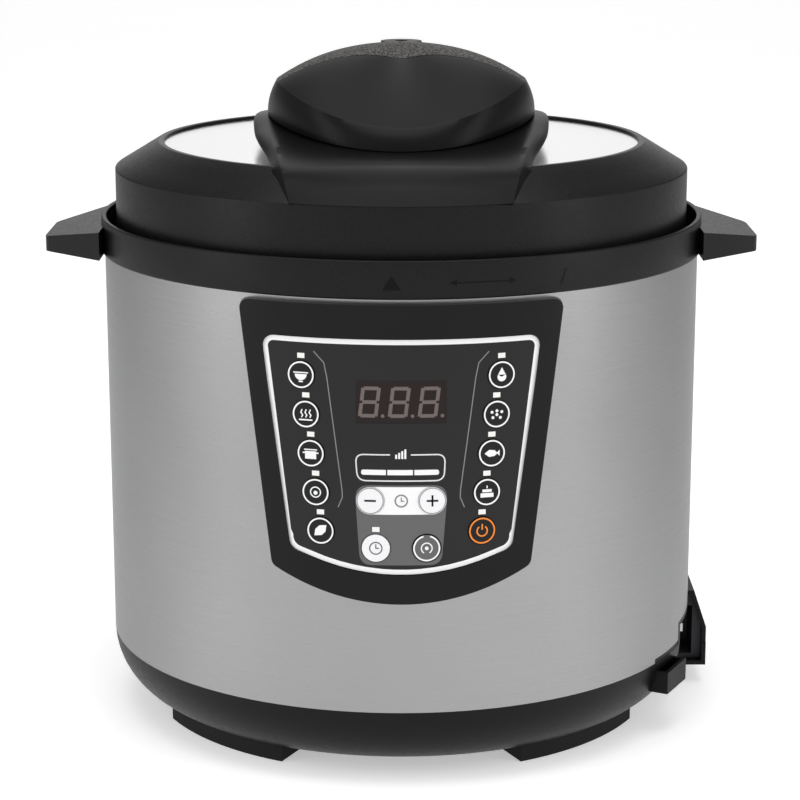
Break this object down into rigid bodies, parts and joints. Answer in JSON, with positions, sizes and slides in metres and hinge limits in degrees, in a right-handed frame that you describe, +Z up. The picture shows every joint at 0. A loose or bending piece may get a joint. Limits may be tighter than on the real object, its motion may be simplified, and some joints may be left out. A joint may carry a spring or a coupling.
{
  "type": "electric pressure cooker",
  "caption": "Steel-clad electric pressure cooker with a curved button panel, twist-lock lid, domed lid handle, pressure valves, two side handles and a lift-out inner pot.",
  "frame": {"origin": "centre of the cooker on the plane that its feet stand on", "axes": "+Z up along the body's axis, the control panel faces -Y, +X towards the power inlet"},
  "size_m": [0.321, 0.302, 0.3023],
  "materials": {
    "black_plastic": "satin moulded, faint grain",
    "grained_plastic": "coarse leather grain",
    "rubber": "matt",
    "fastener_steel": "zinc plated",
    "brushed_steel": "brushed round the body",
    "bright_steel": "polished",
    "plate_steel": "plain sheet",
    "cast_aluminium": "cast and turned",
    "dark_parts": "moulded",
    "brass_parts": "plain",
    "circuit_board": "solder mask",
    "display_lens": "smoked",
    "led_lens": "milky",
    "panel_film": "gloss film",
    "key_dark": "gloss",
    "key_white": "satin white",
    "clear_cup": "frosted clear",
    "silicone": "translucent silicone"
  },
  "bodies": {
    "cooker_body": {"base_shell": "black_plastic", "foot_front_right": "rubber", "foot_rear_right": "rubber", "foot_rear_left": "rubber", "foot_front_left": "rubber", "base_screws": "fastener_steel", "steel_body": "brushed_steel", "collar": "black_plastic", "outer_pot": "plate_steel", "pot_screws": "fastener_steel", "heating_plate": "cast_aluminium", "heating_element": "dark_parts", "heat_shield": "plate_steel", "thermal_fuse": "brass_parts", "pressure_switch": "dark_parts", "power_board": "circuit_board", "power_parts": "dark_parts", "ribbon_cable": "dark_parts", "control_board": "circuit_board", "display_module": "dark_parts", "display_window": "display_lens", "indicator_leds": "led_lens", "tact_switches": "dark_parts", "panel_frame": "black_plastic", "panel_overlay": "panel_film", "inlet_housing": "black_plastic", "inlet_socket": "dark_parts", "inlet_pins": "bright_steel", "side_pocket": "black_plastic", "cup_bracket": "black_plastic", "sensor_spring": "fastener_steel"},
    "lid_seal": {"sealing_ring": "silicone"},
    "lid": {"lid_shell": "black_plastic", "lid_disc": "bright_steel", "handle_base": "black_plastic", "handle_cap": "black_plastic", "handle_grip": "grained_plastic", "lid_screws": "fastener_steel", "pressure_plate": "plate_steel", "exhaust_pipe": "bright_steel"},
    "valve_knob": {"valve_cap": "black_plastic"},
    "valve_core": {"valve_weight": "fastener_steel"},
    "float_pin": {"float_valve": "bright_steel"},
    "pot": {"inner_pot": "bright_steel"},
    "sensor": {"temperature_sensor": "bright_steel"},
    "cup": {"condensate_cup": "clear_cup"},
    "key_left_1_button": {"key_left_1": "key_dark"},
    "key_left_2_button": {"key_left_2": "key_dark"},
    "key_left_3_button": {"key_left_3": "key_dark"},
    "key_left_4_button": {"key_left_4": "key_dark"},
    "key_left_5_button": {"key_left_5": "key_dark"},
    "key_right_1_button": {"key_right_1": "key_dark"},
    "key_right_2_button": {"key_right_2": "key_dark"},
    "key_right_3_button": {"key_right_3": "key_dark"},
    "key_right_4_button": {"key_right_4": "key_dark"},
    "key_power_button": {"key_power": "key_dark"},
    "key_minus_button": {"key_minus": "key_white"},
    "key_plus_button": {"key_plus": "key_white"},
    "key_timer_button": {"key_timer": "key_white"},
    "key_flavor_button": {"key_flavor": "key_dark"}
  },
  "joints": [
    {"name": "lid_lift", "type": "slide", "parent": "cooker_body", "child": "lid_seal", "axis": [0, 0, 1], "range_m": [0, 0.33]},
    {"name": "lid_turn", "type": "hinge", "parent": "lid_seal", "child": "lid", "pos_m": [0, 0, 0.25], "axis": [0, 0, 1], "range_deg": [0, 30]},
    {"name": "valve_turn", "type": "hinge", "parent": "lid", "child": "valve_knob", "pos_m": [0, 0.036, 0.29], "axis": [0, 0, 1], "range_deg": [-60, 0]},
    {"name": "valve_lift", "type": "slide", "parent": "valve_knob", "child": "valve_core", "axis": [0, 0, 1], "range_m": [0, 0.0025]},
    {"name": "float_rise", "type": "slide", "parent": "lid", "child": "float_pin", "axis": [0, 0, 1], "range_m": [0, 0.005]},
    {"name": "pot_lift", "type": "slide", "parent": "cooker_body", "child": "pot", "axis": [0, 0, 1], "range_m": [0, 0.165]},
    {"name": "sensor_press", "type": "slide", "parent": "cooker_body", "child": "sensor", "axis": [0, 0, -1], "range_m": [0, 0.003], "stiffness_N_per_m": 600, "springref_m": -0.003, "deforming": ["sensor_spring"]},
    {"name": "cup_pull", "type": "slide", "parent": "cooker_body", "child": "cup", "axis": [0, 1, 0], "range_m": [0, 0.06]},
    {"name": "key_left_1_press", "type": "slide", "parent": "cooker_body", "child": "key_left_1_button", "axis": [0.2969, 0.9549, 0], "range_m": [0, 0.0004], "stiffness_N_per_m": 400, "springref_m": -0.0006},
    {"name": "key_left_2_press", "type": "slide", "parent": "cooker_body", "child": "key_left_2_button", "axis": [0.2831, 0.9591, 0], "range_m": [0, 0.0004], "stiffness_N_per_m": 400, "springref_m": -0.0006},
    {"name": "key_left_3_press", "type": "slide", "parent": "cooker_body", "child": "key_left_3_button", "axis": [0.2694, 0.963, 0], "range_m": [0, 0.0004], "stiffness_N_per_m": 400, "springref_m": -0.0006},
    {"name": "key_left_4_press", "type": "slide", "parent": "cooker_body", "child": "key_left_4_button", "axis": [0.2556, 0.9668, 0], "range_m": [0, 0.0004], "stiffness_N_per_m": 400, "springref_m": -0.0006},
    {"name": "key_left_5_press", "type": "slide", "parent": "cooker_body", "child": "key_left_5_button", "axis": [0.2419, 0.9703, 0], "range_m": [0, 0.0004], "stiffness_N_per_m": 400, "springref_m": -0.0006},
    {"name": "key_right_1_press", "type": "slide", "parent": "cooker_body", "child": "key_right_1_button", "axis": [-0.2969, 0.9549, 0], "range_m": [0, 0.0004], "stiffness_N_per_m": 400, "springref_m": -0.0006},
    {"name": "key_right_2_press", "type": "slide", "parent": "cooker_body", "child": "key_right_2_button", "axis": [-0.2831, 0.9591, 0], "range_m": [0, 0.0004], "stiffness_N_per_m": 400, "springref_m": -0.0006},
    {"name": "key_right_3_press", "type": "slide", "parent": "cooker_body", "child": "key_right_3_button", "axis": [-0.2694, 0.963, 0], "range_m": [0, 0.0004], "stiffness_N_per_m": 400, "springref_m": -0.0006},
    {"name": "key_right_4_press", "type": "slide", "parent": "cooker_body", "child": "key_right_4_button", "axis": [-0.2556, 0.9668, 0], "range_m": [0, 0.0004], "stiffness_N_per_m": 400, "springref_m": -0.0006},
    {"name": "key_power_press", "type": "slide", "parent": "cooker_body", "child": "key_power_button", "axis": [-0.2419, 0.9703, 0], "range_m": [0, 0.0004], "stiffness_N_per_m": 400, "springref_m": -0.0006},
    {"name": "key_minus_press", "type": "slide", "parent": "cooker_body", "child": "key_minus_button", "axis": [0.0927, 0.9957, 0], "range_m": [0, 0.0004], "stiffness_N_per_m": 400, "springref_m": -0.0006},
    {"name": "key_plus_press", "type": "slide", "parent": "cooker_body", "child": "key_plus_button", "axis": [-0.0927, 0.9957, 0], "range_m": [0, 0.0004], "stiffness_N_per_m": 400, "springref_m": -0.0006},
    {"name": "key_timer_press", "type": "slide", "parent": "cooker_body", "child": "key_timer_button", "axis": [0.076, 0.9971, 0], "range_m": [0, 0.0004], "stiffness_N_per_m": 400, "springref_m": -0.0006},
    {"name": "key_flavor_press", "type": "slide", "parent": "cooker_body", "child": "key_flavor_button", "axis": [-0.076, 0.9971, 0], "range_m": [0, 0.0004], "stiffness_N_per_m": 400, "springref_m": -0.0006}
  ],
  "couplings": [
    {"joint": "pot_lift", "follows": "lid_lift", "ratio": 0.5}
  ]
}
